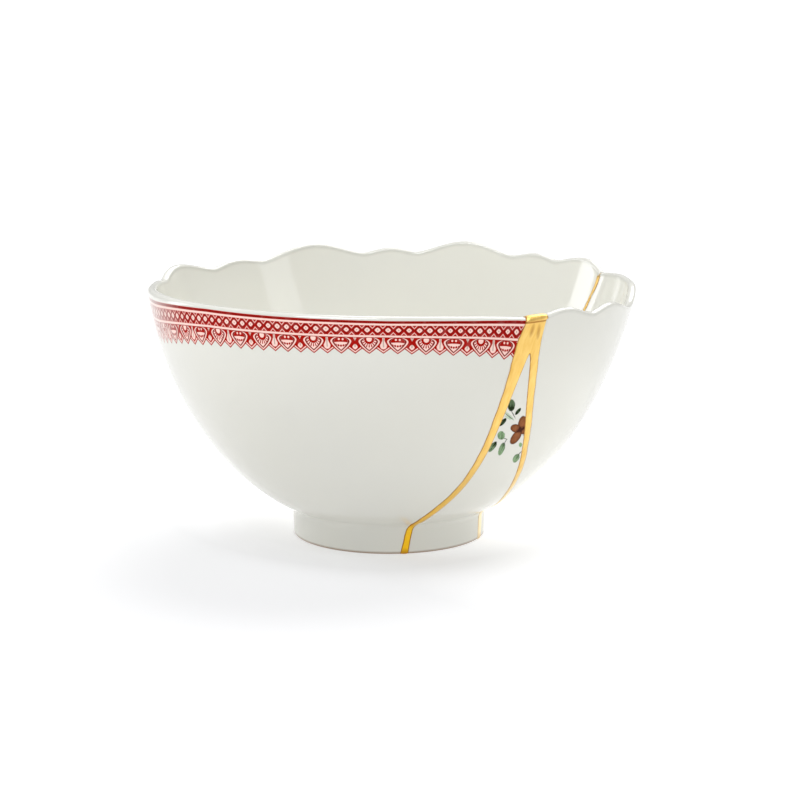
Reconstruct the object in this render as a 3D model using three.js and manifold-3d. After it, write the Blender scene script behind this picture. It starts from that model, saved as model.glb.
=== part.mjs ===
// Kintsugi bowl: three porcelain shards joined by two raised gold seams.
// Millimetres, +Z up. The front of the bowl faces -Y, and angles turn from the front towards +X.
import * as THREE from 'three';
import { mergeVertices } from 'three/addons/utils/BufferGeometryUtils.js';
import Module from 'manifold-3d';

// Foot ring and floor
const FOOT_RADIUS = 38.7;
const FOOT_HEIGHT = 9.2;
const FOOT_BEVEL = 1.2;
const FOOT_TAPER = 0.3;
const FOOT_FACE_INNER = 34.3;
const FOOT_FILLET = { run: 0.5, rise: 1.6 };
const RECESS_RADIUS = 33.0;
const RECESS_HEIGHT = 6.2;
const FLOOR_HEIGHT = 11.4;

// Outer wall: radius grows from the start height and would stand upright at the limit height
const WALL_START = { radius: 24.9, height: 8 };
const WALL_LIMIT = { radius: 100.1, height: 140 };
const WALL_BELLY = 2.15;
const WALL_SPREAD = 1.725;
const WALL_FOOT_HEIGHT = 12.6;

// The scalloped rim flares out and the plain rim stands in by this much at the flare height
const RIM_FLARE = 1.15;
const FLARE_START = 66;
const FLARE_HEIGHT = 100;

// Inner wall: the outer curve, lifted and moved in, with a lip width of its own on each kind of rim
const WALL_LIFT = 3.4;
const WALL_INSET = 2.6;
const PLAIN_LIP = 4;
const SCALLOPED_LIP = 2.9;
const LIP_ROUNDNESS = 0.45;
const LIP_START = 72;

// Plain rim: highest at the crown, falling towards its two ends
const CROWN_HEIGHT = 103.6;
const CROWN_ANGLE = 346;
const LEFT_END_DROP = 4.5;
const LEFT_END_SPAN = 90;
const RIGHT_END_DROP = 2.6;
const RIGHT_END_SPAN = 44.6;

// Scalloped rim: large and small lobes by turns, on a rim that leans up to the right and the back
const VALLEY_HEIGHT = 98.45;
const LOBE_PERIOD = 40;
const LARGE_LOBE = { height: 4.75, width: 26.2 };
const SMALL_LOBE = { height: 1.7, width: LOBE_PERIOD - LARGE_LOBE.width };
const LARGE_CREST_ANGLE = 40.1;
const LOBE_POWER = 1.5;
const LEAN_RIGHT = 0.0168;
const LEAN_BACK = 0.009;

// From this angle on the lobes spread out towards the left by a share of the turn
const SPREAD_START = 203;
const SPREAD_SHARE = 0.14;

// Stretches where the scalloped rim passes into the plain one, on the left
const RIM_CHANGE = [252, 262];
const WALL_CHANGE = [236, 272];

// Beside the seams the scalloped rims round down by a drop that fades out over a span
const DROOP = {
  mainBack: { drop: 4.6, span: 16 },
  rightBack: { drop: 1.6, span: 10 },
  rightFront: { drop: 1.8, span: 8 },
};
const DROOP_POWER = 1.3;

// The right shard's lobes pass into a long dip and then a level rim, and its inside stands proud at the back
const LEVEL_RIM = 100.9;
const LEVEL_CHANGE = [58, 66];
const LONG_DIP = { angle: 76, halfWidth: 16, depth: 4.6 };
const PROUD_STEP = 0.6;
const PROUD_SPAN = 4.5;

// Edges of the breaks as [height, angle] from the foot up to the rim
const MAIN_FRONT_EDGE = [
  [0, 6.7], [10, 10.1], [14, 13.1], [28, 21.6], [42, 25.6],
  [61, 27.5], [85, 29.6], [92, 30.3], [97, 31.4], [102, 33],
];
const FLOWER_LEFT_EDGE = [
  [0, 11.4], [10, 14.3], [14, 17.6], [28, 24.8], [42, 28.3], [60, 30.2], [75, 31.9], [86.6, 33.7],
];
const FLOWER_RIGHT_EDGE = [
  [0, 66.6], [9, 66.6], [12, 66.8], [15, 64.4], [18, 57.8],
  [25, 50.8], [43, 42.6], [59, 37.9], [70, 35.8], [86.6, 34],
];
const RIGHT_FRONT_EDGE = [
  [0, 72.4], [9, 72.6], [12, 71.5], [15, 67.5], [18, 60.8], [25, 53.7],
  [43, 45.1], [59, 40.3], [70, 38.2], [84, 36.5], [94, 36.4], [104, 37.2],
];
const RIGHT_BACK_EDGE = [[0, 128.5], [12, 127], [50, 120], [85, 115.1], [95, 113.2], [103, 112.8]];
const MAIN_BACK_EDGE = [[0, 132], [12, 130.5], [50, 121.8], [85, 116.5], [95, 114.6], [103, 114.2]];

// The front seam forks between these heights, and its right branch starts inside the trunk
const FORK_HEIGHT = 86.6;
const FORK_TOP = 89.6;
const BRANCH_TOP = 95;

// Gold: crowned strips that fill the breaks and meet in a hub on the floor
const GOLD_RISE = 0.45;
const GOLD_ROUNDNESS = 4;
const JOIN_GAP = 0.15;
const HUB_RADIUS = 4.6;
const HUB_SIDES = 20;

// Mesh steps
const WALL_ROWS = 7;
const ROW_BUNCHING = 1.6;
const RIM_ROWS = 3;
const LIP_ROWS = 4;
const STRIP_STEPS = 4;
const SCALLOPED_STEP = 3.3;
const PLAIN_STEP = 6;

const RADIAN = Math.PI / 180;
const { clamp, lerp, smoothstep, euclideanModulo } = THREE.MathUtils;

const wasm = await Module();
wasm.setup();

const PORCELAIN = new THREE.MeshStandardMaterial({ color: 0xe2e1d9, roughness: 0.12, metalness: 0 });
const GOLD = new THREE.MeshStandardMaterial({ color: 0xe9b43c, roughness: 0.28, metalness: 1 });

// Angle of an edge at a height: a smooth curve through the edge's points
function angleAt(edge, height) {
  const last = edge.length - 1;
  const z = THREE.MathUtils.clamp(height, edge[0][0], edge[last][0]);
  const slope = (k) => {
    const [low, high] = [edge[Math.max(k - 1, 0)], edge[Math.min(k + 1, last)]];
    return (high[1] - low[1]) / (high[0] - low[0]);
  };
  const above = edge.findIndex((point, k) => k > 0 && point[0] >= z);
  const [z0, a0] = edge[above - 1];
  const [z1, a1] = edge[above];
  const span = z1 - z0;
  const t = (z - z0) / span;
  const bend0 = slope(above - 1) * span;
  const bend1 = slope(above) * span;
  const rise = t * t * (3 - 2 * t);
  return a0 + (a1 - a0) * rise + bend0 * t * (1 - t) ** 2 - bend1 * t * t * (1 - t);
}

// Radius of the outer wall; flare is 1 under the scalloped rim and -1 under the plain one
function outerRadius(height, flare) {
  const share = (height - WALL_START.height) / (WALL_LIMIT.height - WALL_START.height);
  const bulge = (1 - (1 - Math.max(share, 0)) ** WALL_BELLY) ** (1 / WALL_SPREAD);
  const spread = Math.max(0, (height - FLARE_START) / (FLARE_HEIGHT - FLARE_START));
  return lerp(WALL_START.radius, WALL_LIMIT.radius, bulge) + flare * RIM_FLARE * spread;
}

// Radius of the inner wall for a lip of the given width
function innerRadius(height, shape) {
  const rimInset = shape.lip - (outerRadius(shape.rim, 0) - outerRadius(shape.rim - WALL_LIFT, 0));
  const inset = lerp(WALL_INSET, rimInset, smoothstep(height, LIP_START, shape.rim));
  return outerRadius(height - WALL_LIFT, shape.flare) - inset - shape.proud;
}

// Height of the plain rim: the crown, less a drop that grows faster towards the right end
function plainRim(angle) {
  const turn = euclideanModulo(angle - CROWN_ANGLE + 180, 360) - 180;
  if (turn < 0) {
    return CROWN_HEIGHT - LEFT_END_DROP * (turn / LEFT_END_SPAN) ** 2;
  }
  return CROWN_HEIGHT - RIGHT_END_DROP * (turn / RIGHT_END_SPAN) ** 3;
}

// Height of the scalloped rim: a valley level that leans, plus the lobe at this angle
function scallopedRim(angle) {
  const half = LOBE_PERIOD / 2;
  const turn = angle - SPREAD_SHARE * Math.max(0, angle - SPREAD_START) - LARGE_CREST_ANGLE;
  const offset = Math.abs(euclideanModulo(turn + half, LOBE_PERIOD) - half);
  const large = offset < LARGE_LOBE.width / 2;
  const lobe = large ? LARGE_LOBE : SMALL_LOBE;
  const fromCrest = large ? offset : half - offset;
  const wave = lobe.height * Math.max(0, Math.cos((Math.PI * fromCrest) / lobe.width)) ** LOBE_POWER;
  const radius = outerRadius(VALLEY_HEIGHT, 1);
  const lean = radius * (LEAN_RIGHT * Math.sin(angle * RADIAN) - LEAN_BACK * Math.cos(angle * RADIAN));
  return VALLEY_HEIGHT + wave + lean;
}

// Drop of the rim at an angle beside a seam
function seamDroop(angle, edge, { drop, span }) {
  const distance = Math.abs(angle - edge.at(-1)[1]);
  return drop * Math.max(0, 1 - distance / span) ** DROOP_POWER;
}

// Wall shape at an angle of the main shard, scalloped at the back and plain at the front left
function mainShape(angle) {
  const scalloped = scallopedRim(angle) - seamDroop(angle, MAIN_BACK_EDGE, DROOP.mainBack);
  const plainWall = smoothstep(angle, ...WALL_CHANGE);
  return {
    rim: lerp(scalloped, plainRim(angle), smoothstep(angle, ...RIM_CHANGE)),
    lip: lerp(SCALLOPED_LIP, PLAIN_LIP, plainWall),
    flare: lerp(1, -1, plainWall),
    proud: 0,
  };
}

// Depth of the right shard's long dip at an angle
function longDip(angle) {
  const share = Math.min(Math.abs(angle - LONG_DIP.angle) / LONG_DIP.halfWidth, 1);
  return LONG_DIP.depth * Math.cos((Math.PI / 2) * share) ** 2;
}

// Wall shape at an angle of the right shard, scalloped at the front and level at the back
function rightShape(angle) {
  const backSeam = RIGHT_BACK_EDGE.at(-1)[1];
  const scalloped = scallopedRim(angle) - seamDroop(angle, RIGHT_FRONT_EDGE, DROOP.rightFront);
  const level = LEVEL_RIM - longDip(angle) - seamDroop(angle, RIGHT_BACK_EDGE, DROOP.rightBack);
  return {
    rim: lerp(scalloped, level, smoothstep(angle, ...LEVEL_CHANGE)),
    lip: SCALLOPED_LIP,
    flare: 1,
    proud: PROUD_STEP * clamp(1 - (backSeam - angle) / PROUD_SPAN, 0, 1) ** 2,
  };
}

// Wall shape between two others
function mixShapes(first, second, share) {
  const keys = Object.keys(first);
  return Object.fromEntries(keys.map((key) => [key, lerp(first[key], second[key], share)]));
}

// Heights of the wall's rows: bunched at the foot up to the fork, then even up to the top
function wallHeights(top) {
  const heights = [];
  for (let k = 0; k <= WALL_ROWS; k += 1) {
    heights.push(lerp(WALL_FOOT_HEIGHT, FORK_HEIGHT, (k / WALL_ROWS) ** ROW_BUNCHING));
  }
  for (let k = 1; k <= RIM_ROWS && top > FORK_HEIGHT; k += 1) {
    heights.push(lerp(FORK_HEIGHT, top, k / RIM_ROWS));
  }
  return heights;
}

// Points of the foot and the underside as radius and height, from the outer wall to the start radius
function footPoints(startRadius) {
  return [
    new THREE.Vector2(FOOT_RADIUS + FOOT_FILLET.run, FOOT_HEIGHT + FOOT_FILLET.rise),
    new THREE.Vector2(FOOT_RADIUS, FOOT_HEIGHT),
    new THREE.Vector2(FOOT_RADIUS - FOOT_TAPER, FOOT_BEVEL),
    new THREE.Vector2(FOOT_RADIUS - FOOT_BEVEL, 0),
    new THREE.Vector2(FOOT_FACE_INNER, 0),
    new THREE.Vector2(RECESS_RADIUS, RECESS_HEIGHT),
    new THREE.Vector2(startRadius, RECESS_HEIGHT),
  ];
}

// Closed section of the wall as parts of one loop: floor, inner wall, lip, outer wall, foot and underside.
// It starts at the given radius on the floor, and one that is cut off below the rim has no lip.
function wallSection(shape, startRadius, cutHeight) {
  const lipRise = cutHeight === undefined ? shape.lip * LIP_ROUNDNESS : 0;
  const top = cutHeight ?? shape.rim - lipRise;
  const heights = wallHeights(top);
  const innerWall = heights.map((height) => new THREE.Vector2(innerRadius(height, shape), height));
  const outerWall = heights.map((height) => new THREE.Vector2(outerRadius(height, shape.flare), height));
  const [inner, outer] = [innerWall.at(-1), outerWall.at(-1)];
  const lip = [];
  for (let k = 1; k < LIP_ROWS && lipRise > 0; k += 1) {
    const turn = (Math.PI * k) / LIP_ROWS;
    const radius = (inner.x + outer.x) / 2 - ((outer.x - inner.x) / 2) * Math.cos(turn);
    lip.push(new THREE.Vector2(radius, top + lipRise * Math.sin(turn)));
  }
  const floor = [
    new THREE.Vector2(startRadius, FLOOR_HEIGHT),
    new THREE.Vector2(innerRadius(FLOOR_HEIGHT, shape), FLOOR_HEIGHT),
  ];
  return { floor, innerWall, lip, outerWall: outerWall.reverse(), foot: footPoints(startRadius) };
}

// Triangles across the block of floor and foot, as places in its outline, in the outline's own direction
function footTriangles() {
  const { floor, innerWall, outerWall, foot } = wallSection(mainShape(CROWN_ANGLE), HUB_RADIUS);
  const outline = [...floor, innerWall[0], outerWall.at(-1), ...foot];
  return THREE.ShapeUtils.triangulateShape(outline, []).map((corners) => {
    const backwards = THREE.ShapeUtils.area(corners.map((corner) => outline[corner])) > 0;
    return backwards ? corners.reverse() : corners;
  });
}

// Triangles across a section: a block at the foot, rungs up the wall and a fan in the lip.
// All sections are laid in the same way, so the ends of neighbours match.
function sectionTriangles({ floor, innerWall, lip, foot }) {
  const rows = innerWall.length;
  const inner = (row) => floor.length + row;
  const outer = (row) => floor.length + rows + lip.length + rows - 1 - row;
  const footLoop = [0, 1, inner(0), outer(0), ...foot.map((point, k) => outer(0) + 1 + k)];
  const triangles = footTriangles().map((corners) => corners.map((corner) => footLoop[corner]));
  for (let row = 0; row + 1 < rows; row += 1) {
    triangles.push([inner(row), inner(row + 1), outer(row + 1)]);
    triangles.push([inner(row), outer(row + 1), outer(row)]);
  }
  for (let k = 0; k < lip.length; k += 1) {
    triangles.push([inner(rows - 1), inner(rows + k), inner(rows + k + 1)]);
  }
  return triangles;
}

// Section swollen outwards by a rise, kept off the surface that the bowl stands on
function swellSection(section, rise) {
  const count = section.length;
  return section.map((point, k) => {
    const along = section[(k + 1) % count].clone().sub(section[(k + count - 1) % count]).normalize();
    return new THREE.Vector2(point.x - along.y * rise, Math.max(point.y + along.x * rise, 0));
  });
}

// Angle of a break's edge: over the floor it runs straight to the hub and keeps its width in millimetres
function breakAngle(edge, partner, point) {
  const height = point.x > RECESS_RADIUS ? point.y : FLOOR_HEIGHT;
  const own = angleAt(edge, height);
  const middle = (own + angleAt(partner, height)) / 2;
  return middle + (own - middle) * Math.max(1, FOOT_RADIUS / point.x);
}

// Closed solid from neighbouring loops of points in space, with ends laid as the given triangles
function solidFromLoops(loops, endTriangles) {
  const size = loops[0].length;
  const triangles = [];
  for (let j = 0; j + 1 < loops.length; j += 1) {
    for (let k = 0; k < size; k += 1) {
      const [near, far] = [j * size, (j + 1) * size];
      const next = (k + 1) % size;
      triangles.push(near + k, near + next, far + next);
      triangles.push(near + k, far + next, far + k);
    }
  }
  const endBase = (loops.length - 1) * size;
  for (const [a, b, c] of endTriangles) {
    triangles.push(a, c, b);
    triangles.push(endBase + a, endBase + b, endBase + c);
  }
  const geometry = new THREE.BufferGeometry();
  const positions = loops.flat().flatMap((point) => point.toArray());
  geometry.setAttribute('position', new THREE.Float32BufferAttribute(positions, 3));
  geometry.setIndex(triangles);
  return geometry;
}

// Piece between two edges: shapeAt gives the wall at a share of the way, rise the swelling there
function sweepBetween({ start, end, shares, shapeAt, rise, startRadius = HUB_RADIUS, cutHeight }) {
  const sections = shares.map((share) => wallSection(shapeAt(share), startRadius, cutHeight));
  const loops = sections.map((section, j) => {
    const flat = Object.values(section).flat();
    return swellSection(flat, rise(shares[j])).map((point, k) => {
      const angle = lerp(start(flat[k]), end(flat[k]), shares[j]) * RADIAN;
      return new THREE.Vector3(point.x * Math.sin(angle), -point.x * Math.cos(angle), point.y);
    });
  });
  return solidFromLoops(loops, sectionTriangles(sections[0]));
}

// Even steps from first to last, none larger than the given step
function evenSteps(first, last, largestStep) {
  const count = Math.ceil((last - first) / largestStep);
  return Array.from({ length: count + 1 }, (_, k) => lerp(first, last, k / count));
}

// Shard of the wall from one break to another, with columns at the angles that it needs at the given height
function shardGeometry({ start, end, columnsBetween, columnHeight, shapeAtAngle, cutHeight }) {
  const probe = new THREE.Vector2(outerRadius(columnHeight, 0), columnHeight);
  const [first, last] = [start(probe), end(probe)];
  return sweepBetween({
    start,
    end,
    shares: columnsBetween(first, last).map((angle) => (angle - first) / (last - first)),
    shapeAt: (share) => shapeAtAngle(lerp(first, last, share)),
    rise: () => 0,
    cutHeight,
  });
}

// Gold strip between two break edges, lower at its sides than along its middle
function stripGeometry({ start, end, startShape, endShape, startRadius, cutHeight }) {
  const gap = (point) => JOIN_GAP / point.x / RADIAN;
  return sweepBetween({
    start: (point) => start(point) + gap(point),
    end: (point) => end(point) - gap(point),
    shares: evenSteps(0, 1, 1 / STRIP_STEPS),
    shapeAt: (share) => mixShapes(startShape, endShape, share),
    rise: (share) => GOLD_RISE * (1 - (2 * share - 1) ** GOLD_ROUNDNESS),
    startRadius,
    cutHeight,
  });
}

// Main shard: from the back seam round the back and the left to the front seam
function mainShard() {
  return shardGeometry({
    start: (point) => breakAngle(MAIN_BACK_EDGE, RIGHT_BACK_EDGE, point),
    end: (point) => 360 + breakAngle(MAIN_FRONT_EDGE, FLOWER_LEFT_EDGE, point),
    columnsBetween: (first, last) => [
      ...evenSteps(first, RIM_CHANGE[1], SCALLOPED_STEP),
      ...evenSteps(RIM_CHANGE[1], last, PLAIN_STEP).slice(1),
    ],
    columnHeight: CROWN_HEIGHT,
    shapeAtAngle: mainShape,
  });
}

// Right shard: from the front seam to the back seam
function rightShard() {
  return shardGeometry({
    start: (point) => breakAngle(RIGHT_FRONT_EDGE, FLOWER_RIGHT_EDGE, point),
    end: (point) => breakAngle(RIGHT_BACK_EDGE, MAIN_BACK_EDGE, point),
    columnsBetween: (first, last) => evenSteps(first, last, SCALLOPED_STEP),
    columnHeight: CROWN_HEIGHT,
    shapeAtAngle: rightShape,
  });
}

// Flower shard: the wedge between the two branches of the front seam
function flowerShard() {
  const leftShape = mainShape(360 + MAIN_FRONT_EDGE.at(-1)[1]);
  const shape = mixShapes(leftShape, rightShape(RIGHT_FRONT_EDGE.at(-1)[1]), 0.5);
  return shardGeometry({
    start: (point) => breakAngle(FLOWER_LEFT_EDGE, MAIN_FRONT_EDGE, point),
    end: (point) => breakAngle(FLOWER_RIGHT_EDGE, RIGHT_FRONT_EDGE, point),
    columnsBetween: (first, last) => evenSteps(first, last, PLAIN_STEP),
    columnHeight: 0,
    shapeAtAngle: () => shape,
    cutHeight: FORK_HEIGHT,
  });
}

// Solid for joining, made from a geometry whose shared vertices are merged
function toManifold(geometry) {
  geometry.deleteAttribute('normal');
  geometry.deleteAttribute('uv');
  const merged = mergeVertices(geometry);
  const vertProperties = new Float32Array(merged.attributes.position.array);
  const triVerts = new Uint32Array(merged.index.array);
  return new wasm.Manifold(new wasm.Mesh({ numProp: 3, vertProperties, triVerts }));
}

// Geometry of a joined solid
function fromManifold(solid) {
  const mesh = solid.getMesh();
  const geometry = new THREE.BufferGeometry();
  geometry.setAttribute('position', new THREE.Float32BufferAttribute(mesh.vertProperties, 3));
  geometry.setIndex(new THREE.Uint32BufferAttribute(mesh.triVerts, 1));
  return geometry;
}

// Front seam: a trunk that narrows into the left branch, the right branch and the hub, joined as one
function frontSeam() {
  const leftShape = mainShape(360 + MAIN_FRONT_EDGE.at(-1)[1]);
  const rightEndShape = rightShape(RIGHT_FRONT_EDGE.at(-1)[1]);
  const trunkEdge = (point) => {
    const branch = breakAngle(FLOWER_LEFT_EDGE, MAIN_FRONT_EDGE, point);
    const trunk = angleAt(RIGHT_FRONT_EDGE, point.y);
    return lerp(branch, trunk, smoothstep(point.y, FORK_HEIGHT, FORK_TOP));
  };
  const leftBranch = stripGeometry({
    start: (point) => breakAngle(MAIN_FRONT_EDGE, FLOWER_LEFT_EDGE, point),
    end: trunkEdge,
    startShape: leftShape,
    endShape: rightEndShape,
    startRadius: HUB_RADIUS / 2,
  });
  const rightBranch = stripGeometry({
    start: (point) => breakAngle(FLOWER_RIGHT_EDGE, RIGHT_FRONT_EDGE, point),
    end: (point) => breakAngle(RIGHT_FRONT_EDGE, FLOWER_RIGHT_EDGE, point),
    startShape: mixShapes(leftShape, rightEndShape, 0.5),
    endShape: rightEndShape,
    startRadius: HUB_RADIUS / 2,
    cutHeight: BRANCH_TOP,
  });
  const hub = new THREE.CylinderGeometry(
    HUB_RADIUS - 2 * JOIN_GAP,
    HUB_RADIUS - 2 * JOIN_GAP,
    FLOOR_HEIGHT - RECESS_HEIGHT + 2 * GOLD_RISE,
    HUB_SIDES,
  );
  hub.rotateX(Math.PI / 2);
  hub.translate(0, 0, (FLOOR_HEIGHT + RECESS_HEIGHT) / 2);
  return fromManifold(toManifold(leftBranch).add(toManifold(rightBranch)).add(toManifold(hub)));
}

// Back seam: a narrow strip between the right shard and the main shard
function backSeam() {
  return stripGeometry({
    start: (point) => breakAngle(RIGHT_BACK_EDGE, MAIN_BACK_EDGE, point),
    end: (point) => breakAngle(MAIN_BACK_EDGE, RIGHT_BACK_EDGE, point),
    startShape: rightShape(RIGHT_BACK_EDGE.at(-1)[1]),
    endShape: mainShape(MAIN_BACK_EDGE.at(-1)[1]),
  });
}

function pieceMesh(name, geometry, material) {
  const mesh = new THREE.Mesh(geometry, material);
  mesh.name = name;
  return mesh;
}

const bowl = new THREE.Group();
bowl.add(pieceMesh('main_shard', mainShard(), PORCELAIN));
bowl.add(pieceMesh('right_shard', rightShard(), PORCELAIN));
bowl.add(pieceMesh('flower_shard', flowerShard(), PORCELAIN));
bowl.add(pieceMesh('front_gold_seam', frontSeam(), GOLD));
bowl.add(pieceMesh('back_gold_seam', backSeam(), GOLD));

export default bowl;
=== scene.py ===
import bpy
import numpy as np
from bpy.props import FloatProperty, FloatVectorProperty, PointerProperty
from bpy.types import Operator, Panel, PropertyGroup
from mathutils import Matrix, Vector


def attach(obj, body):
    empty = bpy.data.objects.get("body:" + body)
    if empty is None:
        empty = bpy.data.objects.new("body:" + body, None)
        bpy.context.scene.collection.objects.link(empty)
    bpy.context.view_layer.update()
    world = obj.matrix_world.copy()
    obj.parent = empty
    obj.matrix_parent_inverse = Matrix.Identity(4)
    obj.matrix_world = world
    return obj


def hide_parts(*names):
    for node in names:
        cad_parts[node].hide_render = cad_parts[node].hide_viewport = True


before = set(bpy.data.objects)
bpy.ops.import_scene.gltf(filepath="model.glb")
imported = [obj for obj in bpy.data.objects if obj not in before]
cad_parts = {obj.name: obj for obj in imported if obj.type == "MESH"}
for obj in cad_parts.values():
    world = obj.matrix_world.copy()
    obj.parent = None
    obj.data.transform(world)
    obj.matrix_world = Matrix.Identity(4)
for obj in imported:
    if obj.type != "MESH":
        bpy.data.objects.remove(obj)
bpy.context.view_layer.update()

bl_info = {
    "name": "Kintsugi Bowl",
    "version": (1, 0, 0),
    "blender": (4, 5, 0),
    "location": "View3D > Sidebar > Bowl",
    "description": "Makes a porcelain bowl of joined shards with raised gold seams",
    "category": "Add Mesh",
}

# Lengths in the code are millimetres and angles are degrees. An angle turns from the front (-Y) towards +X.
MM = 0.001
RADIAN = np.pi / 180

# Foot ring and floor
FOOT_BEVEL = 1.2
FOOT_TAPER = 0.3
FOOT_FILLET = (0.05, 2.05)
FOOT_FACE_INNER = 34.3
FACE_MIDDLE = 36.0
FACE_ROUND = 0.5
RECESS_RADIUS = 33.0
RECESS_HEIGHT = 6.2
RECESS_ROUND = 0.8
RECESS_SLANT = 0.15
FLOOR_HEIGHT = 11.4

# Outer wall: radius and height where it starts and where it would stand upright, and its two powers
WALL_START = (24.9, 8.0)
WALL_LIMIT = (100.1, 140.0)
WALL_BELLY = 2.15
WALL_SPREAD = 1.725
WALL_FOOT_HEIGHT = 12.6
FLARE_START = 66.0
FLARE_HEIGHT = 100.0

# Inner wall: the outer curve, lifted and moved in
WALL_LIFT = 3.4
WALL_INSET = 2.6
LIP_ROUNDNESS = 0.45
LIP_START = 72.0

# Plain rim: highest at the crown, falling by a drop over a span towards each end
CROWN_ANGLE = 346.0
LEFT_END = (4.5, 90.0)
RIGHT_END = (2.6, 44.6)

# Scalloped rim: large and small lobes by turns, on a rim that leans up to the right and the back
LOBE_PERIOD = 40.0
LARGE_WIDTH = 26.2
LARGE_CREST_ANGLE = 40.1
LOBE_POWER = 1.5
LEAN_RIGHT = 0.0168
LEAN_BACK = 0.009

# The lobes spread out by a share from an angle on, and pass into the plain rim and wall on the left
SPREAD_START = 203.0
SPREAD_SHARE = 0.14
RIM_CHANGE = (252.0, 262.0)
WALL_CHANGE = (236.0, 272.0)

# Drops of the rims beside the seams, each fading out over a span
MAIN_BACK_DROOP = (4.6, 16.0)
RIGHT_BACK_DROOP = (1.6, 10.0)
RIGHT_FRONT_DROOP = (1.8, 8.0)
DROOP_POWER = 1.3

# The right shard's lobes pass into a long dip and then a level rim, and its inside stands proud at the back
LEVEL_RIM = 100.9
LEVEL_CHANGE = (58.0, 66.0)
LONG_DIP_ANGLE = 76.0
LONG_DIP_HALF_WIDTH = 16.0
LONG_DIP_DEPTH = 4.6
PROUD_STEP = 0.6
PROUD_SPAN = 4.5

# Edges of the breaks as (height, angle) from the foot up to the rim
MAIN_FRONT_EDGE = (
    (0, 6.7), (10, 10.1), (14, 13.1), (28, 21.6), (42, 25.6),
    (61, 27.5), (85, 29.6), (92, 30.3), (97, 31.4), (102, 33),
)
FLOWER_LEFT_EDGE = (
    (0, 11.4), (10, 14.3), (14, 17.6), (28, 24.8), (42, 28.3), (60, 30.2), (75, 31.9), (86.6, 33.7),
)
FLOWER_RIGHT_EDGE = (
    (0, 66.6), (9, 66.6), (12, 66.8), (15, 64.4), (18, 57.8),
    (25, 50.8), (43, 42.6), (59, 37.9), (70, 35.8), (86.6, 34),
)
RIGHT_FRONT_EDGE = (
    (0, 72.4), (9, 72.6), (12, 71.5), (15, 67.5), (18, 60.8), (25, 53.7),
    (43, 45.1), (59, 40.3), (70, 38.2), (84, 36.5), (94, 36.4), (104, 37.2),
)
RIGHT_BACK_EDGE = ((0, 128.5), (12, 127), (50, 120), (85, 115.1), (95, 113.2), (103, 112.8))
MAIN_BACK_EDGE = ((0, 132), (12, 130.5), (50, 121.8), (85, 116.5), (95, 114.6), (103, 114.2))

# Radii over which a break turns from its straight run over the floor into its edge on the wall
BREAK_TURN = (24.0, 38.0)

# The shards reach this far under the gold
HIDDEN_EDGE = 0.4

# Front seam: where its trunk forks, and the knob on the floor where the seams meet
FORK_HEIGHT = 86.6
FORK_ANGLE = 33.85
TRUNK_MIDDLE = 34.7
HUB_RADIUS = 4.6
HUB_GAP = 0.3
HUB_ROUND = 0.5
HUB_REACH = 0.6

# Gold: it starts under the glaze and crowns over a width, and its edges wander by waves of the height, each
# with a size, a turn for each millimetre and a share of the phase
GOLD_SINK = 0.06
GOLD_CROWN_WIDTH = 2.4
BRUSH_WAVES = ((0.10, 0.31, 1.0), (0.07, 0.83, 2.1), (0.04, 1.9, 3.7))

# Rise of the gold over the lip at both seams, and how far the back seam spills over inside, up to the rim
FRONT_CAP_RISE = 0.25
BACK_CAP_RISE = -0.5
BACK_SPILL = (0.2, 1.2)
BACK_SPILL_RISE = (78.0, 100.0)

# Rows of the wall's outline: floor, low bend, bend over the foot, wall, rim and half of the lip
FLOOR_ROWS = 8
LOW_ROWS = 10
FOOT_STEPS = (9, 4, 5, 2, 3, 3, 3)
FOOT_ROWS = sum(FOOT_STEPS) - 1
WALL_ROWS = 52
RIM_ROWS = 12
LIP_ROWS = 8

# Rows where the fork and the lip start, heights where both bends end, and how the walls' rows bunch low down
FORK_ROW = FLOOR_ROWS + LOW_ROWS + FOOT_ROWS + WALL_ROWS
LIP_FIRST_ROW = FORK_ROW + RIM_ROWS
LOW_BEND_TOP = 13.55
FOOT_BEND_TOP = 17.4
INNER_BUNCHING = 1.15
OUTER_BUNCHING = 1.3

# Outlines of each piece, and the sides and steps of the hub
MAIN_COLUMNS = 330
RIGHT_COLUMNS = 110
FLOWER_COLUMNS = 48
BRANCH_COLUMNS = 13
BACK_COLUMNS = 11
HUB_SIDES = 48
HUB_STEPS = 12

# Lace border: the turn and width of one heart and of one diamond, and where one of each hangs
HEART_PITCH = 6.288
HEART_ANGLE = 2.17
HEART_WIDTH = 10.45
DIAMOND_PITCH = 2.285
DIAMOND_ANGLE = -2.23
DIAMOND_WIDTH = DIAMOND_PITCH * HEART_WIDTH / HEART_PITCH

# Levels of the border's rows, in its own millimetres below the lip
TOP_LINE = 2.385
TOP_RULE = (1.92, 2.9)
TOP_RULE_CORE = (2.2, 2.6)
BAND = (3.55, 7.2)
BAND_GROUND = (3.4, 7.4)
BAND_MIDDLE = 5.25
LOW_RULE = (7.85, 8.3)
FRINGE_TOP = 8.1
FAN_LEVEL = 8.55
SPOT_LEVEL = 8.75
HEART_LEVEL = 9.5
HEART_DEPTH = 4.45
HEART_SHOULDER = 1.73
BOTTLE_LEVEL = 11.1
DOT_LEVEL = 11.15
DROP_LEVEL = 11.42
LOBE_TIP = 13.95

# Steps inwards from a heart's edge and from a lobe's edge
HEART_RING = (-0.86, -0.42)
HEART_CORE = -1.34
LOBE_LINE = (-0.74, -0.36)

# The border ends at an angle on the left, and its print thins out from a heart before that; both are soft
BORDER_END = 257.0
BORDER_END_SOFT = 0.8
PRINT_FADE = (-10.8, 1.7)

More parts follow.
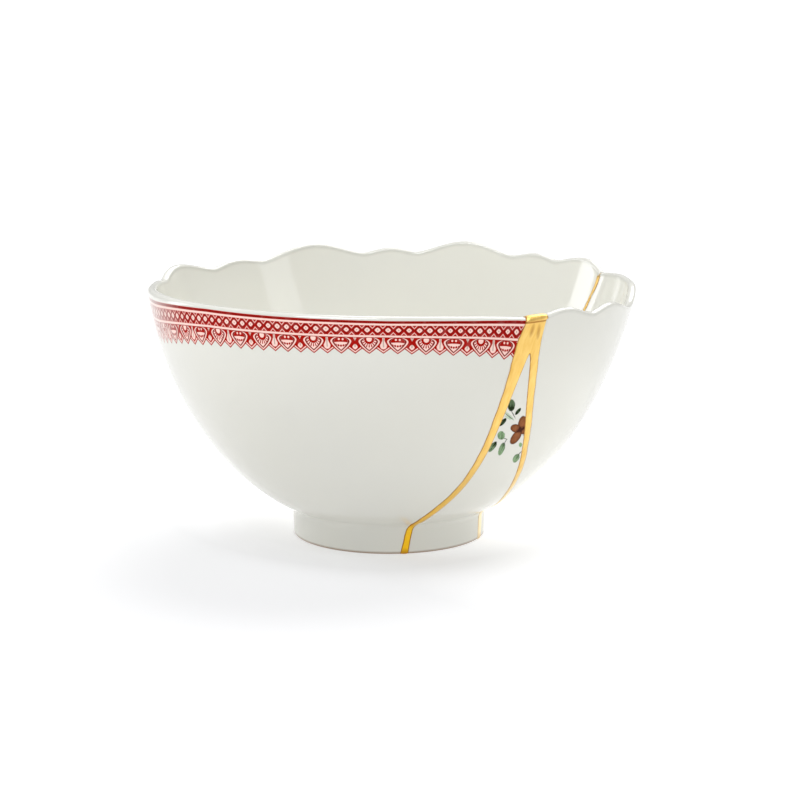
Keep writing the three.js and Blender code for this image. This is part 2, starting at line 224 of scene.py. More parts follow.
# How the border was laid on the wall: angle, millimetres from the rim to its top line, and stretch downwards
BORDER_LAY = (
    (-70, 3.50, 1.40), (-55, 2.34, 1.25), (-45, 1.76, 1.18), (-10, 1.80, 1.06), (0, 1.92, 1.02),
    (20, 1.82, 1.10), (30, 1.57, 1.245),
)

# Marks of the sprig as middle, long half and short half, in millimetres right of the sprig's line and up
SPRIG_ANGLE = 33.0
BLADES = (((-1.36, 62.18), (2.75, -2.14), (0.30, 0.34)), ((-1.77, 61.55), (1.62, -0.95), (0.17, 0.47)))
STEMS = (
    ((-1.50, 61.97), (2.54, -1.74), (0.10, 0.15)), ((0.31, 62.50), (1.62, -1.86), (0.19, 0.08)),
    ((0.27, 52.34), (1.30, -0.52), (0.00, 0.17)), ((0.98, 51.23), (-0.26, -0.90), (0.24, -0.13)),
    ((11.23, 44.51), (0.41, 0.66), (0.30, -0.20)), ((8.51, 53.11), (0.66, -0.88), (0.20, 0.02)),
)
# Leaves with the lightness of their middle and how much lighter they get towards their far end
LEAVES = (
    (((-1.80, 66.57), (0.60, -2.52), (1.71, -0.27)), 0.30, -0.28),
    (((2.14, 63.55), (0.85, 1.28), (0.76, -0.51)), 0.16, 0.10),
    (((-3.45, 59.79), (-0.95, -1.48), (0.90, -0.64)), 0.12, 0.0),
    (((-2.13, 54.05), (0.54, -1.84), (1.86, -0.39)), 0.78, -0.10),
    (((-4.22, 49.48), (-0.87, -2.01), (1.21, -0.82)), 0.42, 0.35),
    (((0.58, 47.83), (0.05, -2.78), (1.41, -0.63)), 0.70, 0.28),
    (((9.50, 48.40), (0.35, -1.09), (0.92, -0.27)), 1.0, 0.0),
    (((10.46, 42.29), (-0.30, -1.82), (1.81, -0.92)), 0.72, 0.28),
)
PETALS = (
    ((7.35, 55.28), (1.18, -2.32), (1.59, -0.25)), ((6.21, 58.08), (0.47, -3.16), (2.23, -0.56)),
    ((5.44, 52.37), (1.31, 2.75), (2.09, -1.40)), ((3.58, 56.32), (2.47, -0.27), (0.86, -1.90)),
)
FLOWER_HEART = ((6.44, 55.43), (1.9, 0.6), (0.8, -1.3))

# Glaze: the depth below the rim where the lip gets painted shade, the height of the bare edge under the
# foot, and its gloss
LIP_SHADE_DEPTH = 1.5
BARE_EDGE = 0.75
GLAZE_IOR = 1.52

# Gold finish: the band below the rim where the crease under the cap gets painted shade, the length along an
# outline past which it is on the outside, the tops of the orange and of the pale gold there, the line across
# that parts them, the width of the brown edge, lacquer and painted shade of the raised edge, and the
# distance from an edge that counts for the whole hub
CAP_CREASE_SHADE = (1.5, 2.05)
OUTSIDE_LENGTH = 190.0
ORANGE_GOLD_TOP = 20.0
PALE_GOLD_TOP = 26.0
BRANCH_PARTING = 32.0
EDGE_WIDTH = 0.36
HUB_EDGE_DISTANCE = 3.0

# Brown smudges on the trunk of the front seam: middle, long half and short half in millimetres across and up
SMUDGES = (((52.9, 95.9), (-0.7, -2.6), (0.75, -0.1)), ((55.3, 95.2), (-0.35, -2.9), (0.7, -0.1)))

# Stage in metres: the floor's reach, and the backdrop's distance and height, with its glow
FLOOR_REACH = 12.0
BACKDROP_PLACE = 8.0
BACKDROP_HEIGHT = 4.0
BACKDROP_GLOW = 0.05

# Light: the softboxes' name, place, size and power, what they face and their tint, and a wide lamp far above
SOFTBOXES = (
    ("softbox_right", (1.16, -0.58, 0.43), (0.42, 0.9), 1.9),
    ("softbox_left", (-1.41, 0.76, 0.48), (0.34, 0.9), 3.5),
    ("softbox_front", (-0.50, -0.62, 1.60), (0.8, 0.8), 18.5),
    ("low_fill", (-1.8, -1.35, 0.16), (1.6, 0.5), 6.0),
)
BOWL_MIDDLE = (0.0, 0.0, 0.06)
SOFTBOX_TINT = (0.94, 0.955, 1.0)
CEILING_DIRECTION = (0.30, 0.56, 0.77)
CEILING_STRENGTH = 2.2
CEILING_SPREAD = 50.0

# Camera: the sensor's width in millimetres, and how far it sees in metres
SENSOR_WIDTH = 36.0
CAMERA_REACH = 100.0


def length_setting(name, description, default):
    """Length that a user can change."""
    return FloatProperty(name=name, description=description, default=default, unit="LENGTH")


def colour_setting(name, description, default):
    """Colour that a user can change."""
    return FloatVectorProperty(
        name=name, description=description, subtype="COLOR", default=default, min=0, max=1)


class BowlSizes(PropertyGroup):
    """Sizes of the bowl that a user would change."""

    foot_radius: length_setting("Foot Radius", "Outer radius of the foot ring", 0.0387)
    foot_height: length_setting("Foot Height", "Height of the foot ring's upright face", 0.0092)
    crown_height: length_setting("Crown Height", "Highest point of the plain rim", 0.1036)
    valley_height: length_setting("Valley Height", "Height of the scalloped rim between its lobes", 0.09845)
    large_lobe: length_setting("Large Lobe", "Rise of a large lobe over the valleys", 0.00475)
    small_lobe: length_setting("Small Lobe", "Rise of a small lobe over the valleys", 0.0017)
    plain_lip: length_setting("Plain Lip", "Thickness of the lip on the plain rim", 0.004)
    scalloped_lip: length_setting("Scalloped Lip", "Thickness of the lip on the scalloped rim", 0.0029)
    rim_flare: length_setting(
        "Rim Flare", "How far the scalloped rim flares out and the plain one stands in", 0.00115)
    gold_rise: length_setting("Gold Rise", "How far the gold stands out of the glaze", 0.00032)
    gold_overlap: length_setting("Gold Overlap", "How far the gold laps over the edges of a break", 0.00005)


class BowlColours(PropertyGroup):
    """Colours of the glaze, the painting and the gold."""

    porcelain: colour_setting("Porcelain", "Glazed porcelain", (0.708, 0.702, 0.634))
    porcelain_cool: colour_setting(
        "Porcelain Shade", "Slightly cooler patches in the glaze", (0.697, 0.694, 0.636))
    # Darker colour of the glaze over the lip: painted shade that tones down the light falling on it
    porcelain_lip_shade: colour_setting(
        "Porcelain Lip", "Thinner and slightly darker glaze over the lip", (0.60, 0.595, 0.54))
    bare_clay: colour_setting("Bare Clay", "Unglazed edge under the foot", (0.30, 0.20, 0.13))
    border_red: colour_setting("Border Red", "Printed red of the border", (0.365, 0.004, 0.001))
    border_deep: colour_setting(
        "Border Deep Red", "Darker red of the border's thin lines", (0.13, 0.002, 0.002))
    border_pale: colour_setting("Border Pale", "Pale pink ground inside the border", (0.92, 0.63, 0.56))
    border_dot: colour_setting("Border Dot", "Grey dots in the border's diamonds", (0.28, 0.27, 0.22))
    leaf_dark: colour_setting("Leaf Dark", "Dark green of the leaves", (0.010, 0.022, 0.004))
    leaf_light: colour_setting("Leaf Light", "Pale green of the leaves", (0.29, 0.45, 0.24))
    petal_dark: colour_setting("Petal Dark", "Dark brown of the petals' edges", (0.055, 0.011, 0.003))
    petal_light: colour_setting("Petal Light", "Light brown of the petals", (0.29, 0.098, 0.033))
    gold: colour_setting("Gold", "Bright gold of the seams", (0.88, 0.61, 0.20))
    gold_deep: colour_setting("Gold Deep", "Deeper gold of the brush marks", (0.77, 0.46, 0.10))
    # Gold colours low on the outside: paler on the right branch and a deeper orange on the left one
    gold_pale: colour_setting("Worn Gold", "Pale gold low on the right branch", (0.98, 0.89, 0.66))
    gold_orange: colour_setting("Thick Gold", "Thick gold low on the left branch", (1.0, 0.58, 0.01))
    # Brown of the smudges and of the lacquer at the gold's edges, also used as painted shade in the crease
    # under the cap and along the raised edges
    gold_brown_and_shade: colour_setting("Gold Edge", "Brown lacquer at the edges of the gold", (0.30, 0.11, 0.025))


class StageSettings(PropertyGroup):
    """Camera, floor and light."""

    camera_place: FloatVectorProperty(
        name="Camera Place", description="Where the camera stands", subtype="TRANSLATION",
        default=(0.00438, -1.045, 0.26617))
    camera_tilt: FloatProperty(
        name="Camera Tilt", description="How far the camera looks down", subtype="ANGLE",
        default=11.501 * RADIAN)
    camera_lens: FloatProperty(
        name="Lens", description="Focal length on a 36 mm wide sensor, in millimetres", default=120.06)
    floor_colour: colour_setting("Floor", "Plain pale floor", (0.50, 0.50, 0.50))
    sky_strength: FloatProperty(
        name="Room Light", description="Strength of the even white light all round", default=0.56, min=0)


class BowlForm:
    """The bowl's sizes in millimetres, with the curves of its walls and rims worked out as whole arrays."""

    def __init__(self, sizes):
        for name in sizes.__annotations__:
            setattr(self, name, getattr(sizes, name) / MM)

    def outer_radius(self, height, flare):
        """Radius of the outer wall: a share of the way from start to limit height, bent by two powers,
        plus a flare that grows straight up from the flare's start."""
        share = np.maximum((height - WALL_START[1]) / (WALL_LIMIT[1] - WALL_START[1]), 0)
        bulge = (1 - (1 - share) ** WALL_BELLY) ** (1 / WALL_SPREAD)
        spread = np.maximum((height - FLARE_START) / (FLARE_HEIGHT - FLARE_START), 0)
        return lerp(WALL_START[0], WALL_LIMIT[0], bulge) + flare * self.rim_flare * spread

    def inner_radius(self, height, shape):
        """Radius of the inner wall: the outer wall from a lift lower down, less an inset that
        changes towards the rim so that the lip gets its own thickness."""
        rim = shape["rim"]
        rim_inset = shape["lip"] - (self.outer_radius(rim, 0) - self.outer_radius(rim - WALL_LIFT, 0))
        inset = lerp(WALL_INSET, rim_inset, smoothstep(height, LIP_START, rim))
        return self.outer_radius(height - WALL_LIFT, shape["flare"]) - inset - shape["proud"]

    def plain_rim(self, angle):
        """Height of the plain rim: the crown less the square of the turn to the left, or the cube of the
        turn to the right."""
        turn = (angle - CROWN_ANGLE + 180) % 360 - 180
        left = LEFT_END[0] * (np.minimum(turn, 0) / LEFT_END[1]) ** 2
        right = RIGHT_END[0] * (np.maximum(turn, 0) / RIGHT_END[1]) ** 3
        return self.crown_height - left - right

    def scalloped_rim(self, angle):
        """Height of the scalloped rim: the valley level, a lean that follows the sine and cosine of the
        angle, and a powered cosine for the lobe that the angle lies in. The lobes spread out on the left."""
        half = LOBE_PERIOD / 2
        turn = angle - SPREAD_SHARE * np.maximum(angle - SPREAD_START, 0) - LARGE_CREST_ANGLE
        offset = np.abs((turn + half) % LOBE_PERIOD - half)
        large = offset < LARGE_WIDTH / 2
        height = np.where(large, self.large_lobe, self.small_lobe)
        width = np.where(large, LARGE_WIDTH, LOBE_PERIOD - LARGE_WIDTH)
        from_crest = np.where(large, offset, half - offset)
        wave = height * np.maximum(np.cos(np.pi * from_crest / width), 0) ** LOBE_POWER
        radius = self.outer_radius(self.valley_height, 1)
        lean = radius * (LEAN_RIGHT * np.sin(angle * RADIAN) - LEAN_BACK * np.cos(angle * RADIAN))
        return self.valley_height + wave + lean

    def main_shape(self, angle):
        """Rim, lip, flare and step of the main shard: scalloped at the back, plain at the front left."""
        scalloped = self.scalloped_rim(angle) - seam_droop(angle, MAIN_BACK_EDGE, MAIN_BACK_DROOP)
        plain = smoothstep(angle, *WALL_CHANGE)
        return {
            "rim": lerp(scalloped, self.plain_rim(angle), smoothstep(angle, *RIM_CHANGE)),
            "lip": lerp(self.scalloped_lip, self.plain_lip, plain),
            "flare": lerp(1, -1, plain),
            "proud": np.zeros_like(angle),
        }

    def right_shape(self, angle):
        """Rim, lip, flare and step of the right shard: scalloped at the front, then a dip that follows a
        squared cosine, level and proud at the back."""
        back_seam = RIGHT_BACK_EDGE[-1][1]
        scalloped = self.scalloped_rim(angle) - seam_droop(angle, RIGHT_FRONT_EDGE, RIGHT_FRONT_DROOP)
        dip_share = np.minimum(np.abs(angle - LONG_DIP_ANGLE) / LONG_DIP_HALF_WIDTH, 1)
        dip = LONG_DIP_DEPTH * np.cos(dip_share * np.pi / 2) ** 2
        level = LEVEL_RIM - dip - seam_droop(angle, RIGHT_BACK_EDGE, RIGHT_BACK_DROOP)
        return {
            "rim": lerp(scalloped, level, smoothstep(angle, *LEVEL_CHANGE)),
            "lip": np.full_like(angle, self.scalloped_lip),
            "flare": np.ones_like(angle),
            "proud": PROUD_STEP * np.clip(1 - (back_seam - angle) / PROUD_SPAN, 0, 1) ** 2,
        }

    def front_shapes(self):
        """Shapes of the main shard and of the right shard at the front seam."""
        left = self.main_shape(np.array([360 + MAIN_FRONT_EDGE[-1][1]], dtype=float))
        right = self.right_shape(np.array([RIGHT_FRONT_EDGE[-1][1]], dtype=float))
        return left, right

    def back_shapes(self):
        """Shapes of the right shard and of the main shard at the back seam."""
        first = self.right_shape(np.array([RIGHT_BACK_EDGE[-1][1]], dtype=float))
        last = self.main_shape(np.array([MAIN_BACK_EDGE[-1][1]], dtype=float))
        return first, last


def lerp(first, second, share):
    """Straight mix of two values, arrays or fields."""
    return first + (second - first) * share


def smoothstep(value, low, high):
    """Smooth step from 0 to 1 between two values, with level ends."""
    share = np.clip((value - low) / (high - low), 0, 1)
    return share * share * (3 - 2 * share)


def seam_droop(angle, edge, droop):
    """Drop of a rim beside a seam: a powered share of the span that is left."""
    drop, span = droop
    return drop * np.maximum(1 - np.abs(angle - edge[-1][1]) / span, 0) ** DROOP_POWER


def mix_shapes(first, second, share):
    """Wall shapes between two others, one column for each share."""
    return {key: lerp(first[key], second[key], share) for key in first}


def edge_angle(edge, height):
    """Angle of a break's edge at each height: a cubic through the edge's points, whose slope at a point
    is that of the line between its neighbours."""
    heights, angles = np.array(edge, dtype=float).T
    places = np.arange(len(heights))
    before, after = np.maximum(places - 1, 0), np.minimum(places + 1, places[-1])
    slopes = (angles[after] - angles[before]) / (heights[after] - heights[before])
    level = np.clip(height, heights[0], heights[-1])
    k = np.clip(np.searchsorted(heights, level, side="right") - 1, 0, len(heights) - 2)
    span = heights[k + 1] - heights[k]
    t = (level - heights[k]) / span
    rise = t * t * (3 - 2 * t)
    bends = slopes[k] * span * t * (1 - t) ** 2 - slopes[k + 1] * span * t * t * (1 - t)
    return lerp(angles[k], angles[k + 1], rise) + bends


def break_angle(edge, partner, radius, height, form):
    """Angle of a break's edge: it follows the edge on the wall, runs straight to the middle over the floor
    and keeps its distance from its partner there in millimetres."""
    level = lerp(FLOOR_HEIGHT, height, smoothstep(radius, *BREAK_TURN))
    own = edge_angle(edge, level)
    middle = (own + edge_angle(partner, level)) / 2
    return middle + (own - middle) * np.maximum(1, form.foot_radius / radius)


def curve_points(start, bend, end, count):
    """Points of a quadratic curve from start towards end, without the end. One with no bend is straight."""
    t = np.arange(count)[:, None] / count
    middle = np.add(start, end) / 2 if bend is None else np.array(bend)
    return (1 - t) ** 2 * np.array(start) + 2 * t * (1 - t) * middle + t * t * np.array(end)


def foot_outline(form):
    """Radius and height down the foot's outer face, under it and up its inner face: straight faces joined by
    quadratic curves."""
    outer, top = form.foot_radius, form.foot_height
    tread = outer - FOOT_TAPER
    corners = [
        (float(form.outer_radius(WALL_FOOT_HEIGHT, 0)), WALL_FOOT_HEIGHT),
        (outer, top),
        (tread, FOOT_BEVEL),
        (outer - FOOT_BEVEL, 0),
        (FOOT_FACE_INNER + FACE_ROUND, 0),
        (FOOT_FACE_INNER - RECESS_SLANT, RECESS_ROUND),
        (RECESS_RADIUS + RECESS_SLANT, RECESS_HEIGHT - RECESS_ROUND),
        (RECESS_RADIUS - RECESS_ROUND, RECESS_HEIGHT),
    ]
    bends = [
        (outer + FOOT_FILLET[0], top + FOOT_FILLET[1]),
        None,
        (tread, 0),
        (FACE_MIDDLE, 0),
        (FOOT_FACE_INNER, 0),
        None,
        (RECESS_RADIUS, RECESS_HEIGHT),
    ]
    parts = [curve_points(*part) for part in zip(corners, bends, corners[1:], FOOT_STEPS)]
    return np.concatenate(parts)[1:]


def wall_section(form, shape, start_radius, cut=False):
    """Radius and height of the wall's closed outline, one column for each entry of the shape.
    The first half runs over the floor and up the inside to the lip, a half ellipse. The second half comes
    back down the outside and under the foot, so that the k-th point faces the k-th from the end.
    A cut one stops at the fork and has no lip."""
    columns = len(shape["rim"])
    lip_rise = shape["lip"] * LIP_ROUNDNESS
    top = shape["rim"] - lip_rise

    def rows(heights):
        return np.repeat(np.asarray(heights)[:, None], columns, axis=1)

    low = lerp(FLOOR_HEIGHT, LOW_BEND_TOP, (np.arange(LOW_ROWS) / LOW_ROWS) ** 2)
    bend = lerp(LOW_BEND_TOP, FOOT_BEND_TOP, np.arange(FOOT_ROWS) / FOOT_ROWS)
    share = np.arange(WALL_ROWS) / WALL_ROWS
    inner_wall = lerp(FOOT_BEND_TOP, FORK_HEIGHT, share ** INNER_BUNCHING)
    outer_wall = lerp(WALL_FOOT_HEIGHT, FORK_HEIGHT, share ** OUTER_BUNCHING)
    if cut:
        upper = rows([FORK_HEIGHT])
    else:
        upper = FORK_HEIGHT + (top - FORK_HEIGHT) * np.linspace(0, 1, RIM_ROWS)[:, None]
    inner_height = np.concatenate([rows(np.concatenate([low, bend, inner_wall])), upper])
    outer_height = np.concatenate([rows(outer_wall), upper])
    inner_radius = form.inner_radius(inner_height, shape)
    outer_radius = form.outer_radius(outer_height, shape["flare"])
    floor_share = np.arange(FLOOR_ROWS)[:, None] / FLOOR_ROWS
    floor_radius = lerp(start_radius, inner_radius[:1], floor_share)
    foot = foot_outline(form)
    under_share = np.arange(FLOOR_ROWS + LOW_ROWS) / (FLOOR_ROWS + LOW_ROWS - 1)
    under_radius = lerp(RECESS_RADIUS - RECESS_ROUND, start_radius, under_share)
    radius = [floor_radius, inner_radius]
    height = [rows(np.full(FLOOR_ROWS, FLOOR_HEIGHT)), inner_height]
    if not cut:
        turn = np.pi * (np.arange(2 * LIP_ROWS)[:, None] + 0.5) / (2 * LIP_ROWS)
        middle = (inner_radius[-1] + outer_radius[-1]) / 2
        half = (outer_radius[-1] - inner_radius[-1]) / 2
        radius.append(middle - half * np.cos(turn))
        height.append(top + lip_rise * np.sin(turn))
    radius += [outer_radius[::-1], rows(foot[:, 0]), rows(under_radius)]
    height += [outer_height[::-1], rows(foot[:, 1]), rows(np.full(len(under_radius), RECESS_HEIGHT))]
    return np.concatenate(radius), np.concatenate(height)


def by_column(grid):
    """Entries of a grid of rows and columns as one list, column by column."""
    return np.swapaxes(grid, 0, 1).reshape(-1, *grid.shape[2:])


def turned(radius, height, angle):
    """Points in space from radius, height and angle, column by column."""
    turn = angle * RADIAN
    return by_column(np.stack([radius * np.sin(turn), -radius * np.cos(turn), height], axis=-1))


def below_rim(height):
    """Depth of each point below the top of its own outline, column by column."""
    return by_column(height.max(axis=0) - height)


def side_sign(rows):
    """-1 on the half of an outline that is inside the bowl and 1 on the half outside, as a column."""
    return np.where(np.arange(rows) < rows // 2, -1, 1)[:, None]


def outline_faces(columns, rows):
    """Quads between neighbouring closed outlines."""
    j, k = np.meshgrid(np.arange(columns - 1), np.arange(rows), indexing="ij")
    near, far, after = j * rows, (j + 1) * rows, (k + 1) % rows
    return np.stack([near + k, near + after, far + after, far + k], axis=-1).reshape(-1, 4)


def end_faces(first, rows, rungs, start):
    """Quads across one outline like the rungs of a ladder. They face back or, at the end, forward."""
    k = np.arange(rungs)
    quads = np.stack([first + k, first + k + 1, first + rows - 2 - k, first + rows - 1 - k], axis=-1)
    return quads[:, ::-1] if start else quads


def shard_faces(columns, rows):
    """Faces of a shard: its outlines and its two ends."""
    last = (columns - 1) * rows
    return [
        outline_faces(columns, rows),
        end_faces(0, rows, rows // 2 - 1, True),
        end_faces(last, rows, rows // 2 - 1, False),
    ]


def make_piece(name, points, faces, node, uv=None, values=None):
    """Mesh object at the origin from points in millimetres, with a UV map, named values and its place in the
    frame."""
    mesh = bpy.data.meshes.new(name)
    quads = [face for part in faces for face in part.tolist()]
    mesh.from_pydata((np.asarray(points) * MM).tolist(), [], quads)
    mesh.polygons.foreach_set("use_smooth", np.ones(len(mesh.polygons), dtype=bool))
    if uv is not None:
        corners = np.empty(len(mesh.loops), dtype=np.int32)
        mesh.loops.foreach_get("vertex_index", corners)
        layer = mesh.uv_layers.new(name="Paint")
        layer.data.foreach_set("uv", uv[corners].astype(np.float32).ravel())
    for key, value in (values or {}).items():
        attribute = mesh.attributes.new(key, "FLOAT", "POINT")
        attribute.data.foreach_set("value", np.asarray(value, dtype=np.float32))
    mesh.update()
    piece = bpy.data.objects.new(name, mesh)
    bpy.context.collection.objects.link(piece)
    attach(piece, "root")
    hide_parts(node)
    return piece


def shard_grid(form, start, end, columns, probe_height, shape_at, cut=False):
    """Radius, height, angle and shape of a shard's outlines, carried from one break to the next. Start and
    end each hold an edge, its partner and a turn added to it; columns is the number of outlines."""
    probe_radius = form.outer_radius(probe_height, 0)
    first = break_angle(*start[:2], probe_radius, probe_height, form) + start[2]
    last = break_angle(*end[:2], probe_radius, probe_height, form) + end[2]
    share = np.linspace(0, 1, columns)
    shape = shape_at(lerp(first, last, share))
    radius, height = wall_section(form, shape, HUB_RADIUS, cut)
    hidden = HIDDEN_EDGE / radius / RADIAN
    near = break_angle(*start[:2], radius, height, form) + start[2] - hidden
    far = break_angle(*end[:2], radius, height, form) + end[2] + hidden
    return radius, height, lerp(near, far, share), shape


def swell(radius, height, rise):
    """Outlines pushed out along their own normals by a rise, and kept off the surface that the bowl stands
    on."""
    along_r = np.roll(radius, -1, axis=0) - np.roll(radius, 1, axis=0)
    along_z = np.roll(height, -1, axis=0) - np.roll(height, 1, axis=0)
    length = np.hypot(along_r, along_z)
    return radius - along_z / length * rise, np.maximum(height + along_r / length * rise, 0)


def gold_profile(distance, rise):
    """Rise of the gold at a distance from its edge: it starts just under the glaze and rounds off to a crown
    by a cube."""
    share = np.clip(distance / GOLD_CROWN_WIDTH, 0, 1)
    return -GOLD_SINK + (rise + GOLD_SINK) * (1 - (1 - share) ** 3)


def brush_wander(height, phase):
    """Small wander of a brushed edge: a sum of waves of the height."""
    return sum(size * np.sin(height * turn + shift * phase) for size, turn, shift in BRUSH_WAVES)


def path_length(radius, height):
    """Length along each outline from its start."""
    steps = np.hypot(np.diff(radius, axis=0), np.diff(height, axis=0))
    return np.concatenate([np.zeros((1, radius.shape[1])), np.cumsum(steps, axis=0)])


def arc(angle, radius):
    """Length in millimetres of a turn at a radius."""
    return angle * RADIAN * radius


class Field:
    """A number that changes over a surface: an output of a shading node, with arithmetic that adds nodes."""

    def __init__(self, tree, socket):
        self.tree = tree
        self.socket = socket

    def math(self, operation, *others, clamp=False):
        node = self.tree.nodes.new("ShaderNodeMath")
        node.operation = operation
        node.use_clamp = clamp
        for place, value in enumerate((self, *others)):
            if isinstance(value, Field):
                self.tree.links.new(value.socket, node.inputs[place])
            else:
                node.inputs[place].default_value = float(value)
        return Field(self.tree, node.outputs[0])

    def __add__(self, other):
        return self.math("ADD", other)

    __radd__ = __add__

    def __sub__(self, other):
        return self.math("SUBTRACT", other)

    def __rsub__(self, other):
        return self.math("MULTIPLY_ADD", -1, other)

    def __mul__(self, other):
        return self.math("MULTIPLY", other)

    __rmul__ = __mul__

    def __abs__(self):
        return self.math("ABSOLUTE")

    def power(self, exponent):
        """Power of the number, with what is under 0 taken as 0."""
        return self.math("MAXIMUM", 0).math("POWER", exponent)

    def over(self, edge, soft=0.07):
        """1 where the number is over an edge and 0 under it, with a soft step."""
        return self.math("MULTIPLY_ADD", 0.5 / soft, 0.5 - 0.5 * edge / soft, clamp=True)

    def under(self, edge, soft=0.07):
        """1 where the number is under an edge and 0 over it, with a soft step."""
        return self.math("MULTIPLY_ADD", -0.5 / soft, 0.5 + 0.5 * edge / soft, clamp=True)

    def between(self, low, high, soft=0.07):
        return self.over(low, soft) * self.under(high, soft)

    def either(self, other):
        return self.math("MAXIMUM", other)

    def apart(self):
        """Distance from the nearest whole number, with its sign."""
        return self - self.math("ROUND")

    def odd(self):
        """1 where the nearest whole number is odd and 0 where it is even."""
        return self.math("ROUND").math("FLOORED_MODULO", 2)


class Finish:
    """A new procedural material with one Principled shader, and the fields that drive it."""

    def __init__(self, name):
        self.material = bpy.data.materials.new(name)
        self.material.use_nodes = True
        self.tree = self.material.node_tree
        self.shader = self.tree.nodes["Principled BSDF"]
        self.place = self.tree.nodes.new("ShaderNodeTexCoord")

    def coordinates(self, source):
        """The x, y and z fields of Object or UV coordinates."""
        split = self.tree.nodes.new("ShaderNodeSeparateXYZ")
        self.tree.links.new(self.place.outputs[source], split.inputs[0])
        return [Field(self.tree, output) for output in split.outputs]

    def value(self, name):
        """Field of a value that the mesh carries."""
        node = self.tree.nodes.new("ShaderNodeAttribute")
        node.attribute_name = name
        return Field(self.tree, node.outputs["Fac"])

    def noise(self, scale, detail=2.0, stretch=(1, 1, 1), source="Object"):
        """Noise field in Object or UV coordinates, stretched by a factor along each axis."""
        mapping = self.tree.nodes.new("ShaderNodeMapping")
        mapping.inputs["Scale"].default_value = stretch
        self.tree.links.new(self.place.outputs[source], mapping.inputs["Vector"])
        node = self.tree.nodes.new("ShaderNodeTexNoise")
        node.inputs["Scale"].default_value = scale
        node.inputs["Detail"].default_value = detail
        self.tree.links.new(mapping.outputs[0], node.inputs["Vector"])
        return Field(self.tree, node.outputs["Fac"])

    def mix(self, share, first, second):
        """Colour between two others; each is a colour or the output of another mix."""
        node = self.tree.nodes.new("ShaderNodeMix")
        node.data_type = "RGBA"
        self.tree.links.new(share.socket, node.inputs["Factor"])
        for socket, colour in ((node.inputs[6], first), (node.inputs[7], second)):
            if isinstance(colour, bpy.types.NodeSocket):
                self.tree.links.new(colour, socket)
            else:
                socket.default_value = (*colour, 1)
        return node.outputs[2]

    def set_colour(self, colour):
        self.tree.links.new(colour, self.shader.inputs["Base Color"])

    def set_field(self, socket, field):
        self.tree.links.new(field.socket, self.shader.inputs[socket])

    def set_value(self, socket, value):
        self.shader.inputs[socket].default_value = value

    def set_bump(self, height, distance, strength):
        """Bump from a height field, at the given distance in millimetres."""
        node = self.tree.nodes.new("ShaderNodeBump")
        node.inputs["Strength"].default_value = strength
        node.inputs["Distance"].default_value = distance * MM
        self.tree.links.new(height.socket, node.inputs["Height"])
        self.tree.links.new(node.outputs[0], self.shader.inputs["Normal"])


def distance(x, y, point):
    """Field of the distance from a point, by the root of the sum of the squares."""
    return (abs(x - point[0]).power(2) + abs(y - point[1]).power(2)).math("SQRT")


def oval(x, z, mark):
    """Fields of an oval mark with a middle, a long half and a short half: the shares along both halves, and
    the squared distance from the middle, which is 1 on the edge."""
    middle, long_half, short_half = (np.array(part) for part in mark)
    shares = []
    for row in np.linalg.inv(np.stack([long_half, short_half], axis=1)):
        part = x.math("MULTIPLY_ADD", row[0], -(row @ middle))
        shares.append(z.math("MULTIPLY_ADD", row[1], part))
    along, across = shares
    return along, across, along * along + across * across


def lattice_band(along, down):
    """Fields of the border's upper part, a band of diamonds between two rules: where it is printed, and
    where it is pale, deep red and grey there."""
    turn = (HEART_ANGLE - DIAMOND_ANGLE) / DIAMOND_PITCH
    count = along.math("MULTIPLY_ADD", HEART_PITCH / DIAMOND_PITCH, turn)
    across = abs(count.apart() * DIAMOND_WIDTH)
    aside = abs((count + 0.5).apart() * DIAMOND_WIDTH)
    size = (count * (2 * np.pi / 5)).math("COSINE").math("MULTIPLY_ADD", 0.11, 1.0)
    level = abs(down - BAND_MIDDLE)
    round_sum = across.power(1.4) + (level * 1.2).power(1.4)
    diamond = (round_sum - size * 0.98).under(0, 0.18)
    core = (across.power(2) + level.power(2)).under(0.08, 0.06)
    chevron_top = abs(aside + down - 4.62).under(0.2, 0.1) * aside.under(1.1)
    chevron_low = abs(aside - down + 6.12).under(0.2, 0.1) * aside.under(1.1)
    lattice = abs(across + level - 1.5).under(0.2, 0.1)
    band = down.between(*BAND)
    pale_band = diamond.either(chevron_top * 0.8).either(chevron_low * 0.8)
    rules = down.between(*TOP_RULE).either(down.between(*LOW_RULE))
    pale_rules = down.between(TOP_RULE[1], BAND[0]).either(down.between(BAND[1], LOW_RULE[0]))
    printed = rules.either(down.between(*BAND_GROUND)).either(pale_rules)
    deep = (band * lattice).either(down.between(*TOP_RULE_CORE))
    return printed, (band * pale_band).either(pale_rules), deep, band * diamond * core


def heart_filling(x, down, odd):
    """Field of what the hearts hold by turns: a row of dots under two pale spots, or a fan under a pale half
    disc."""
    beside = abs(x)
    spots = (abs(beside - 0.72).power(2) + abs(down - SPOT_LEVEL).power(2)).under(0.14, 0.06)
    row = abs((x * (1 / 0.95)).apart() * 0.95).power(2) + abs(down - DOT_LEVEL + beside * 0.16).power(2)
    dots = row.under(0.17, 0.07) * beside.under(2.2)
    dotted = ((down - beside.power(2) * 0.03).under(9.75) * (1 - spots)).either(dots)
    reach = (beside.power(2) + abs(down - FAN_LEVEL).power(2)).math("SQRT")
    spread = beside.math("ARCTAN2", down - FAN_LEVEL)
    rays = (spread * (2 * np.pi / 0.34)).math("COSINE").over(0.1, 0.4) * reach.between(1.7, 3.1)
    fan = reach.between(1.0, 1.85).either(rays)
    return lerp(dotted, fan, odd)


